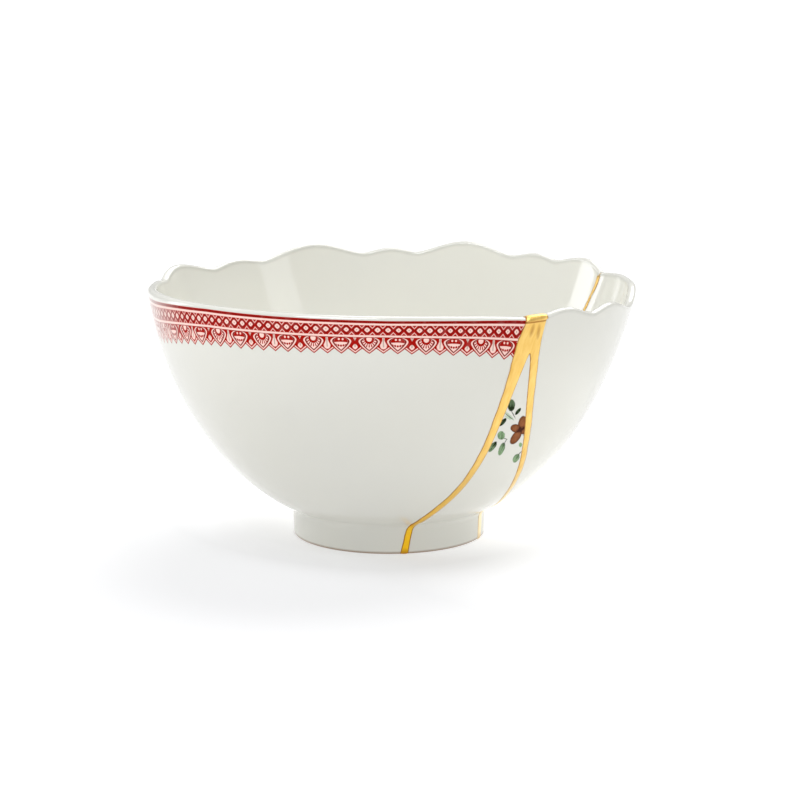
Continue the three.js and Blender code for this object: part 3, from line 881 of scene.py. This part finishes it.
def heart_fringe(along, down):
    """Fields of the border's lower part, hearts with pointed lobes between them: where it is printed, and
    where it is pale, deep red and grey there."""
    x = along.apart() * HEART_WIDTH
    gap = along + 0.5
    gap_x = abs(gap.apart() * HEART_WIDTH)
    lower = 1 - ((down - HEART_LEVEL) * (1 / HEART_DEPTH)).power(1.5)
    upper = (1 - ((HEART_LEVEL - down) * (1 / HEART_SHOULDER)).power(2)).power(0.5)
    heart = (abs(x) - lower * upper * HEART_DEPTH) * 0.72
    heart_in = heart.under(0.08)
    heart_core = heart.under(HEART_CORE)
    lobe = (gap_x + (down - LOBE_TIP) * 1.4) * 0.6
    drop = (gap_x.power(1.4) + abs(down - DROP_LEVEL).power(1.4)).under(0.95, 0.15)
    wedge = (gap_x + (down - 8.2) * 0.55).under(0.55)
    neck = (gap_x - (down - 9.2).math("MAXIMUM", 0) * 0.5).under(0.4) * down.under(BOTTLE_LEVEL)
    bottle = neck.either((gap_x.power(2) + abs(down - BOTTLE_LEVEL).power(2)).under(1.5, 0.25))
    drops = lerp(bottle, drop.either(wedge), gap.odd())
    drop_core = (gap_x.power(2) + (down - 11.4).power(2)).under(0.06, 0.05)
    inside = heart_filling(x, down, along.odd()) * heart_core
    pale_heart = heart.between(*HEART_RING).either(heart_core * (1 - inside))
    pale_lobe = (lobe.between(*LOBE_LINE).either(drops * lobe.under(-0.7))) * (1 - heart_in)
    fringe = down.over(FRINGE_TOP)
    printed = fringe * heart_in.either(lobe.under(0.05))
    deep = fringe * heart.between(HEART_CORE, HEART_RING[0])
    return printed, fringe * pale_heart.either(pale_lobe), deep, fringe * pale_lobe * drop_core


def lace_border(finish, colours, ground):
    """The printed border on the ground colour: a rule, a lattice band of diamonds and a fringe of hearts.
    The UV map gives hearts along the rim and millimetres below the lip."""
    along, down, _ = finish.coordinates("UV")
    parts = zip(lattice_band(along, down), heart_fringe(along, down))
    printed, pale, deep, grey = (upper.either(lower) for upper, lower in parts)
    # The border stops where the plain rim does, and its print thins out towards that end
    end = (BORDER_END - 360 - HEART_ANGLE) / HEART_PITCH
    shown = along.over(end, BORDER_END_SOFT) * printed
    wear = finish.noise(420, 3.0).over(0.36, 0.12)
    muted = along.under(*PRINT_FADE)
    cover = shown * wear.math("MULTIPLY_ADD", 0.06, 0.94) * (1 - muted * 0.5)
    red = finish.mix(deep * 0.75, colours.border_red, colours.border_deep)
    ink = finish.mix(pale, red, colours.border_pale)
    ink = finish.mix(grey * 0.7, ink, colours.border_dot)
    return finish.mix(cover, ground, ink), cover


def flower_sprig(finish, colours, ground):
    """The painted sprig on the ground colour: stems, blades, leaves and petals as ovals with shaded ends.
    The UV map gives millimetres to the right of the sprig's line and the height."""
    x, z, _ = finish.coordinates("UV")
    streak = finish.noise(1.3, 2.0, (1.0, 0.45, 1.0), "UV")
    x = x + (streak - 0.5) * 0.45
    z = z + (finish.noise(0.9, 1.0, (1.0, 1.0, 1.0), "UV") - 0.5) * 0.5
    colour = ground
    cover = None
    for mark in BLADES:
        spot = oval(x, z, mark)[2]
        colour = finish.mix(spot.under(1, 0.4) * 0.6, colour, colours.leaf_light)
    for mark in STEMS:
        spot = oval(x, z, mark)[2]
        colour = finish.mix(spot.under(1, 0.5) * 0.75, colour, colours.leaf_dark)
    for mark, lightness, lean in LEAVES:
        along, across, spot = oval(x, z, mark)
        vein = abs(across - 0.1).under(0.09, 0.09) * 0.35
        light = along * lean + lightness + (streak - 0.5) * 1.1 - vein - spot * 0.18
        leaf = finish.mix(light.math("MINIMUM", 1, clamp=True), colours.leaf_dark, colours.leaf_light)
        inside = spot.under(1, 0.16)
        colour = finish.mix(inside, colour, leaf)
        cover = inside if cover is None else cover.either(inside)
    heart = oval(x, z, FLOWER_HEART)[2].under(0.7, 0.6)
    for mark in PETALS:
        spot = oval(x, z, mark)[2]
        light = 1.0 - spot.power(1.3) * 0.85 + (streak - 0.5) * 0.9 - heart * 0.7
        petal = finish.mix(light.math("MINIMUM", 1, clamp=True), colours.petal_dark, colours.petal_light)
        inside = spot.under(1, 0.12)
        colour = finish.mix(inside, colour, petal)
        cover = cover.either(inside)
    return colour, cover


def porcelain_finish(name, colours, painting=None):
    """Glazed porcelain: faint warm and cool patches, painted shade that darkens the glaze over the lip, a
    slight waviness in the gloss, and a bare edge under the foot. A painting is a function that puts its
    colours over the glaze."""
    finish = Finish(name)
    patches = finish.noise(26, 3.0)
    glaze = finish.mix(patches.over(0.5, 0.22), colours.porcelain_cool, colours.porcelain)
    # Painted shade: the glaze over the lip is darkened to tone down the light on it
    muted = finish.value("below_rim").under(LIP_SHADE_DEPTH, 0.5)
    colour = finish.mix(muted, glaze, colours.porcelain_lip_shade)
    if painting:
        colour, cover = painting(finish, colours, colour)
        finish.set_field("Specular IOR Level", cover.math("MULTIPLY_ADD", -0.46, 0.5))
    height = finish.coordinates("Object")[2]
    bare = height.under(BARE_EDGE * MM, 0.45 * MM)
    finish.set_colour(finish.mix(bare, colour, colours.bare_clay))
    gloss = finish.noise(60, 2.0).math("MULTIPLY_ADD", 0.05, 0.055)
    finish.set_field("Roughness", gloss + bare * 0.45)
    finish.set_value("IOR", GLAZE_IOR)
    finish.set_bump(finish.noise(45, 2.0), 0.25, 0.12)
    return finish.material


def gold_finish(name, colours):
    """Brushed-on gold: streaks along the seam, deeper brush marks, smudges, painted shade in the crease
    under the cap, and brown at its edges, lacquer and painted shade of the raised edge. Low on the outside
    it is a deeper orange on the left branch and paler on the right one."""
    finish = Finish(name)
    edge = finish.value("edge_distance")
    streaks = finish.noise(1.5, 4.0, (1.2, 0.10, 1), "UV")
    clouds = finish.noise(0.42, 2.0, (1.0, 0.4, 1), "UV")
    colour = finish.mix((streaks * 0.6 + clouds * 0.5).over(0.5, 0.2), colours.gold_deep, colours.gold)
    x, y, z = (part * (1 / MM) for part in finish.coordinates("Object"))
    outside = finish.coordinates("UV")[1].over(OUTSIDE_LENGTH, 20) * y.under(0, 5)
    # Low on the outside the gold is a deeper orange on the left branch and paler on the right one
    orange_low = outside * z.under(ORANGE_GOLD_TOP, 14) * x.under(BRANCH_PARTING, 4) * (streaks * 0.4 + 0.7)
    colour = finish.mix(orange_low, colour, colours.gold_orange)
    pale_low = outside * z.under(PALE_GOLD_TOP, 10) * x.over(BRANCH_PARTING, 5)
    colour = finish.mix(pale_low * 0.8, colour, colours.gold_pale)
    for mark in SMUDGES:
        spot = oval(x, z, mark)[2]
        colour = finish.mix(spot.under(0.7, 0.7) * y.under(0) * streaks, colour, colours.gold_brown_and_shade)
    # Painted shade: the crease below the gold's cap over the lip is darkened to brown
    crease_shade = finish.value("below_rim").between(*CAP_CREASE_SHADE, 0.15) * (streaks * 0.6 + 0.5)
    colour = finish.mix(crease_shade, colour, colours.gold_brown_and_shade)
    # Brown along the gold's edges: lacquer, and painted shade of the raised edge
    rim = (edge + (streaks - 0.5) * 0.4 - orange_low * 0.2).under(EDGE_WIDTH, 0.2)
    # The gold also turns brown within 1.6 mm of the floor
    rim = rim.either(z.under(1.6, 1.0) * 0.7)
    finish.set_colour(finish.mix(rim * (0.85 - pale_low * 0.6), colour, colours.gold_brown_and_shade))
    finish.set_value("Metallic", 1.0)
    finish.set_field("Roughness", streaks.math("MULTIPLY_ADD", 0.2, 0.28) + rim * 0.2)
    finish.set_bump(streaks, 0.12, 0.35)
    return finish.material


class BOWL_OT_main_shard(Operator):
    """Make the main shard, with its plain and scalloped rims and the lace border"""

    bl_idname = "kintsugi_bowl.main_shard"
    bl_label = "Main Shard"

    def execute(self, context):
        form = BowlForm(context.scene.bowl_sizes)
        start, end = (MAIN_BACK_EDGE, RIGHT_BACK_EDGE, 0), (MAIN_FRONT_EDGE, FLOWER_LEFT_EDGE, 360)
        radius, height, angle, shape = shard_grid(
            form, start, end, MAIN_COLUMNS, form.crown_height, form.main_shape)
        rows = len(radius)
        # Hearts along the rim, and millimetres of the border down from the lip
        turn = angle - 360
        lay_angle, lay_top, lay_stretch = np.array(BORDER_LAY).T
        below = shape["rim"] - height - np.interp(turn, lay_angle, lay_top)
        below = TOP_LINE + below / np.interp(turn, lay_angle, lay_stretch)
        uv = np.stack([(turn - HEART_ANGLE) / HEART_PITCH, side_sign(rows) * below], axis=-1)
        piece = make_piece(
            "main_shard_glazed", turned(radius, height, angle), shard_faces(MAIN_COLUMNS, rows),
            "main_shard", by_column(uv), {"below_rim": below_rim(height)})
        colours = context.scene.bowl_colours
        piece.data.materials.append(porcelain_finish("porcelain_with_lace_border", colours, lace_border))
        return {"FINISHED"}


class BOWL_OT_right_shard(Operator):
    """Make the right shard, with a scalloped rim that ends level and proud at the back seam"""

    bl_idname = "kintsugi_bowl.right_shard"
    bl_label = "Right Shard"

    def execute(self, context):
        form = BowlForm(context.scene.bowl_sizes)
        start, end = (RIGHT_FRONT_EDGE, FLOWER_RIGHT_EDGE, 0), (RIGHT_BACK_EDGE, MAIN_BACK_EDGE, 0)
        radius, height, angle, _ = shard_grid(
            form, start, end, RIGHT_COLUMNS, form.crown_height, form.right_shape)
        piece = make_piece(
            "right_shard_glazed", turned(radius, height, angle), shard_faces(RIGHT_COLUMNS, len(radius)),
            "right_shard", values={"below_rim": below_rim(height)})
        piece.data.materials.append(porcelain_finish("plain_porcelain", context.scene.bowl_colours))
        return {"FINISHED"}


class BOWL_OT_flower_shard(Operator):
    """Make the flower shard, the wedge with the painted sprig between the branches of the front seam"""

    bl_idname = "kintsugi_bowl.flower_shard"
    bl_label = "Flower Shard"

    def execute(self, context):
        form = BowlForm(context.scene.bowl_sizes)
        start, end = (FLOWER_LEFT_EDGE, MAIN_FRONT_EDGE, 0), (FLOWER_RIGHT_EDGE, RIGHT_FRONT_EDGE, 0)

        def shape_at(angle):
            return mix_shapes(*form.front_shapes(), np.full_like(angle, 0.5))

        radius, height, angle, _ = shard_grid(form, start, end, FLOWER_COLUMNS, 0.0, shape_at, cut=True)
        rows = len(radius)
        across = arc(angle - SPRIG_ANGLE, form.outer_radius(height, 0))
        uv = np.stack([across, side_sign(rows) * height], axis=-1)
        piece = make_piece(
            "flower_shard_glazed", turned(radius, height, angle), shard_faces(FLOWER_COLUMNS, rows),
            "flower_shard", by_column(uv), {"below_rim": below_rim(height) + FORK_HEIGHT})
        colours = context.scene.bowl_colours
        piece.data.materials.append(porcelain_finish("porcelain_with_sprig", colours, flower_sprig))
        return {"FINISHED"}


class BOWL_OT_gold_seams(Operator):
    """Make the forked front seam with its hub and the narrow back seam"""

    bl_idname = "kintsugi_bowl.gold_seams"
    bl_label = "Gold Seams"

    def execute(self, context):
        form = BowlForm(context.scene.bowl_sizes)
        finish = gold_finish("brushed_gold", context.scene.bowl_colours)
        for piece in (front_seam(form), back_seam(form)):
            piece.data.materials.append(finish)
        return {"FINISHED"}


def bunched_shares(columns):
    """Shares from 0 to 1 that bunch at both ends, by a half turn of a cosine."""
    return (1 - np.cos(np.pi * np.linspace(0, 1, columns))) / 2


def gold_points(form, radius, height, angle, edge_distance, from_left, cap_rise):
    """Points, UV map, distances from the edge and depths below the rim of a gold grid. It is swollen by its
    distance from the nearest edge, and its cap over the lip stands higher or lower by a rise of its own."""
    rows = np.arange(len(radius))[:, None]
    on_lip = (rows >= LIP_FIRST_ROW) & (rows < LIP_FIRST_ROW + 2 * LIP_ROWS)
    rise = gold_profile(edge_distance, form.gold_rise) + cap_rise * on_lip
    uv = np.stack([from_left, path_length(radius, height)], axis=-1)
    points = turned(*swell(radius, height, rise), angle)
    return points, by_column(uv), by_column(edge_distance), below_rim(height)


def branch_grid(form, right_side):
    """Gold grid of one branch of the front seam, which is half of the trunk above the fork. Its rise follows
    the distance from the nearest edge of the gold, the fork's tip included."""
    share = bunched_shares(BRANCH_COLUMNS)
    shape = mix_shapes(*form.front_shapes(), (share + right_side) / 2)
    radius, height = wall_section(form, shape, HUB_RADIUS * HUB_REACH)
    lap = form.gold_overlap
    left = break_angle(MAIN_FRONT_EDGE, FLOWER_LEFT_EDGE, radius, height, form)
    left = left - (lap + brush_wander(height, 0.4)) / radius / RADIAN
    right = break_angle(RIGHT_FRONT_EDGE, FLOWER_RIGHT_EDGE, radius, height, form)
    right = right + (lap + brush_wander(height, 1.7)) / radius / RADIAN
    middle = lerp(FORK_ANGLE, TRUNK_MIDDLE, (height - FORK_HEIGHT) / (form.crown_height - FORK_HEIGHT))
    trunk = height >= FORK_HEIGHT - 1e-6
    if right_side:
        inner = break_angle(FLOWER_RIGHT_EDGE, RIGHT_FRONT_EDGE, radius, height, form)
        inner = np.maximum(inner - lap / radius / RADIAN, FORK_ANGLE)
        first, last = np.where(trunk, middle, inner), right
    else:
        inner = break_angle(FLOWER_LEFT_EDGE, MAIN_FRONT_EDGE, radius, height, form)
        inner = np.minimum(inner + lap / radius / RADIAN, FORK_ANGLE)
        first, last = left, np.where(trunk, middle, inner)
    angle = lerp(first, last, share)
    from_left, from_right = arc(angle - left, radius), arc(right - angle, radius)
    branch_distance = np.minimum(arc(angle - first, radius), arc(last - angle, radius))
    tip_distance = np.hypot(arc(angle - FORK_ANGLE, radius), height - FORK_HEIGHT)
    trunk_distance = np.minimum(np.minimum(from_left, from_right), tip_distance)
    edge_distance = np.where(trunk, trunk_distance, branch_distance)
    return gold_points(form, radius, height, angle, edge_distance, from_left, FRONT_CAP_RISE)


def front_seam(form):
    """The forked seam as two grids, one for each branch, that share their middle column above the fork, and
    the hub."""
    grids = [branch_grid(form, right_side) for right_side in (False, True)]
    count = len(grids[0][0])
    rows = count // BRANCH_COLUMNS
    last = count - rows
    faces = [
        outline_faces(BRANCH_COLUMNS, rows),
        end_faces(0, rows, rows // 2 - 1, True),
        end_faces(last, rows, FORK_ROW, False),
        outline_faces(BRANCH_COLUMNS, rows) + count,
        end_faces(count, rows, FORK_ROW, True),
        end_faces(count + last, rows, rows // 2 - 1, False),
    ]
    # Above the fork the right grid's first column is the left grid's last one
    k = np.arange(FORK_ROW, rows - FORK_ROW)
    same = np.arange(2 * count)
    same[count + k] = last + k
    faces = [same[part] for part in faces]
    used = np.unique(np.concatenate([part.ravel() for part in faces]))
    renumber = np.zeros(2 * count, dtype=int)
    renumber[used] = np.arange(len(used))
    points, uv, edges, below = (np.concatenate(part)[used] for part in zip(*grids))
    hub_points, hub_faces = hub(form)
    faces = [renumber[part] for part in faces] + [part + len(used) for part in hub_faces]
    points = np.concatenate([points, hub_points])
    uv = np.concatenate([uv, hub_points[:, :2]])
    edges = np.concatenate([edges, np.full(len(hub_points), HUB_EDGE_DISTANCE)])
    below = np.concatenate([below, np.full(len(hub_points), LEVEL_RIM)])
    return make_piece(
        "front_seam_gold", points, faces, "front_gold_seam", uv,
        {"edge_distance": edges, "below_rim": below})


def hub(form):
    """The knob where the seams meet on the floor: a rounded profile carried once round the axis, with a
    point at each pole."""
    round_middle = HUB_RADIUS - HUB_GAP - HUB_ROUND
    turn = np.linspace(0, np.pi / 2, HUB_STEPS)
    radius = round_middle + HUB_ROUND * np.concatenate([np.sin(turn), np.cos(turn)])
    crown = HUB_ROUND * np.concatenate([np.cos(turn), -np.sin(turn)])
    rows = 2 * HUB_STEPS
    middle = (FLOOR_HEIGHT + RECESS_HEIGHT) / 2
    half = (FLOOR_HEIGHT - RECESS_HEIGHT) / 2 + form.gold_rise - HUB_ROUND
    level = middle + np.where(np.arange(rows) < HUB_STEPS, half, -half) + crown
    j = np.arange(HUB_SIDES)
    angle = 2 * np.pi * j[:, None] / HUB_SIDES
    grid = np.stack(np.broadcast_arrays(radius * np.sin(angle), -radius * np.cos(angle), level), axis=-1)
    points = np.concatenate([grid.reshape(-1, 3), [[0, 0, level[0]], [0, 0, level[-1]]]])
    k = np.arange(rows - 1)
    near, far = j[:, None] * rows, (j[:, None] + 1) % HUB_SIDES * rows
    quads = np.stack([near + k, near + k + 1, far + k + 1, far + k], axis=-1).reshape(-1, 4)
    near, far = near.ravel(), far.ravel()
    top = np.full(HUB_SIDES, HUB_SIDES * rows)
    caps = np.concatenate([
        np.stack([top, near, far], axis=-1),
        np.stack([top + 1, far + rows - 1, near + rows - 1], axis=-1),
    ])
    return points, [quads, caps]


def back_seam(form):
    """The narrow seam between the right shard and the main shard: one grid, crowned along its middle, that
    spills over the main shard's edge inside the bowl."""
    share = bunched_shares(BACK_COLUMNS)
    radius, height = wall_section(form, mix_shapes(*form.back_shapes(), share), HUB_RADIUS)
    rows = len(radius)
    first = break_angle(RIGHT_BACK_EDGE, MAIN_BACK_EDGE, radius, height, form)
    first = first - (form.gold_overlap + brush_wander(height, 2.6)) / radius / RADIAN
    last = break_angle(MAIN_BACK_EDGE, RIGHT_BACK_EDGE, radius, height, form)
    inside = smoothstep((rows + LIP_ROWS) / 2 - np.arange(rows), 0, LIP_ROWS)[:, None]
    spill = inside * lerp(*BACK_SPILL, smoothstep(height, *BACK_SPILL_RISE))
    last = last + (form.gold_overlap + spill + brush_wander(height, 0.9)) / radius / RADIAN
    angle = lerp(first, last, share)
    from_left, from_right = arc(angle - first, radius), arc(last - angle, radius)
    points, uv, edges, _ = gold_points(
        form, radius, height, angle, np.minimum(from_left, from_right), from_left, BACK_CAP_RISE)
    return make_piece(
        "back_seam_gold", points, shard_faces(BACK_COLUMNS, rows), "back_gold_seam", uv,
        {"edge_distance": edges})


class BOWL_OT_stage(Operator):
    """Make the floor, the lights and the camera"""

    bl_idname = "kintsugi_bowl.stage"
    bl_label = "Stage"

    def execute(self, context):
        stage = context.scene.bowl_stage
        make_floor(stage)
        make_lights(context.scene, stage)
        make_camera(context.scene, stage)
        context.scene.view_settings.view_transform = "Standard"
        return {"FINISHED"}


def make_floor(stage):
    """Plain floor and a backdrop far behind it, both of pale paper that glows a little."""
    corner = (-FLOOR_REACH, -FLOOR_REACH, 0)
    floor = add_sheet("floor", corner, (2 * FLOOR_REACH, 0, 0), (0, 2 * FLOOR_REACH, 0))
    paper = paper_finish("white_paper", stage)
    paper.set_value("Roughness", 0.9)
    paper.set_value("Specular IOR Level", 0.1)
    paper.set_field("Emission Strength", floor_glow(paper))
    floor.data.materials.append(paper.material)
    corner = (-FLOOR_REACH, BACKDROP_PLACE, 0)
    backdrop = add_sheet("backdrop", corner, (2 * FLOOR_REACH, 0, 0), (0, 0, BACKDROP_HEIGHT))
    glow = paper_finish("lit_backdrop", stage)
    glow.set_value("Specular IOR Level", 0.0)
    glow.set_value("Emission Strength", BACKDROP_GLOW)
    backdrop.data.materials.append(glow.material)


def paper_finish(name, stage):
    """Paper in the floor's colour, with a white glow whose strength is still to be set."""
    paper = Finish(name)
    paper.set_value("Base Color", (*stage.floor_colour, 1))
    paper.set_value("Emission Color", (1, 1, 1, 1))
    return paper


def floor_glow(paper):
    """Strength of the floor's glow: a base all over, with soft pools round the foot and to the right of it,
    a wide ring, and more far behind."""
    x, y, _ = paper.coordinates("Object")
    from_foot = distance(x, y, (0.02, 0.05))
    foot_pool = from_foot.under(0.085, 0.03) * 0.42
    right_pool = distance(x, y, (0.12, -0.02)).under(0.09, 0.04) * 0.26
    ring = from_foot.over(0.34, 0.12) * 0.085
    far = y.over(1.4, 1.0) * 0.32
    return foot_pool.either(right_pool) + ring + far + 0.32


def add_sheet(name, corner, across, along):
    """Flat sheet from a corner and its two sides."""
    corner, across, along = np.array(corner), np.array(across), np.array(along)
    mesh = bpy.data.meshes.new(name)
    mesh.from_pydata([corner, corner + across, corner + across + along, corner + along], [], [(0, 1, 2, 3)])
    sheet = bpy.data.objects.new(name, mesh)
    bpy.context.collection.objects.link(sheet)
    return sheet


def make_lights(scene, stage):
    """Even white room, softboxes that face the bowl, and one wide lamp far above."""
    world = bpy.data.worlds.new("white_room")
    world.use_nodes = True
    background = world.node_tree.nodes["Background"]
    background.inputs["Color"].default_value = (1, 1, 1, 1)
    background.inputs["Strength"].default_value = stage.sky_strength
    scene.world = world
    for softbox in SOFTBOXES:
        add_softbox(*softbox)
    ceiling = bpy.data.lights.new("ceiling", "SUN")
    ceiling.energy = CEILING_STRENGTH
    ceiling.angle = CEILING_SPREAD * RADIAN
    lamp = bpy.data.objects.new("ceiling", ceiling)
    lamp.rotation_euler = Vector(CEILING_DIRECTION).to_track_quat("Z", "Y").to_euler()
    bpy.context.collection.objects.link(lamp)


def add_softbox(name, place, size, power):
    """Rectangular area light, slightly cool, that faces the middle of the bowl."""
    light = bpy.data.lights.new(name, "AREA")
    light.shape = "RECTANGLE"
    light.size, light.size_y = size
    light.energy = power
    light.color = SOFTBOX_TINT
    lamp = bpy.data.objects.new(name, light)
    lamp.location = place
    lamp.rotation_euler = (Vector(BOWL_MIDDLE) - Vector(place)).to_track_quat("-Z", "Y").to_euler()
    bpy.context.collection.objects.link(lamp)


def make_camera(scene, stage):
    """Camera that looks straight along +Y and down by its tilt."""
    camera = bpy.data.cameras.new("camera")
    camera.sensor_width = SENSOR_WIDTH
    camera.lens = stage.camera_lens
    camera.clip_end = CAMERA_REACH
    eye = bpy.data.objects.new("camera", camera)
    eye.location = stage.camera_place
    eye.rotation_euler = (np.pi / 2 - stage.camera_tilt, 0, 0)
    bpy.context.collection.objects.link(eye)
    scene.camera = eye


class BOWL_PT_panel(Panel):
    """Lists the pieces of the bowl and its settings in the sidebar"""

    bl_idname = "BOWL_PT_panel"
    bl_label = "Kintsugi Bowl"
    bl_space_type = "VIEW_3D"
    bl_region_type = "UI"
    bl_category = "Bowl"

    def draw(self, context):
        for operator in OPERATORS:
            self.layout.operator(operator.bl_idname)
        for name in SETTINGS:
            settings = getattr(context.scene, name)
            column = self.layout.column()
            for setting in settings.__annotations__:
                column.prop(settings, setting)


OPERATORS = (
    BOWL_OT_main_shard, BOWL_OT_right_shard, BOWL_OT_flower_shard, BOWL_OT_gold_seams, BOWL_OT_stage,
)
SETTINGS = {"bowl_sizes": BowlSizes, "bowl_colours": BowlColours, "bowl_stage": StageSettings}
CLASSES = (*SETTINGS.values(), *OPERATORS, BOWL_PT_panel)


def register():
    for cls in CLASSES:
        bpy.utils.register_class(cls)
    for name, settings in SETTINGS.items():
        setattr(bpy.types.Scene, name, PointerProperty(type=settings))


def unregister():
    for name in SETTINGS:
        delattr(bpy.types.Scene, name)
    for cls in reversed(CLASSES):
        bpy.utils.unregister_class(cls)


def main():
    """Make every piece and the stage."""
    register()
    bpy.ops.kintsugi_bowl.main_shard()
    bpy.ops.kintsugi_bowl.right_shard()
    bpy.ops.kintsugi_bowl.flower_shard()
    bpy.ops.kintsugi_bowl.gold_seams()
    bpy.ops.kintsugi_bowl.stage()


if __name__ == "__main__":
    main()
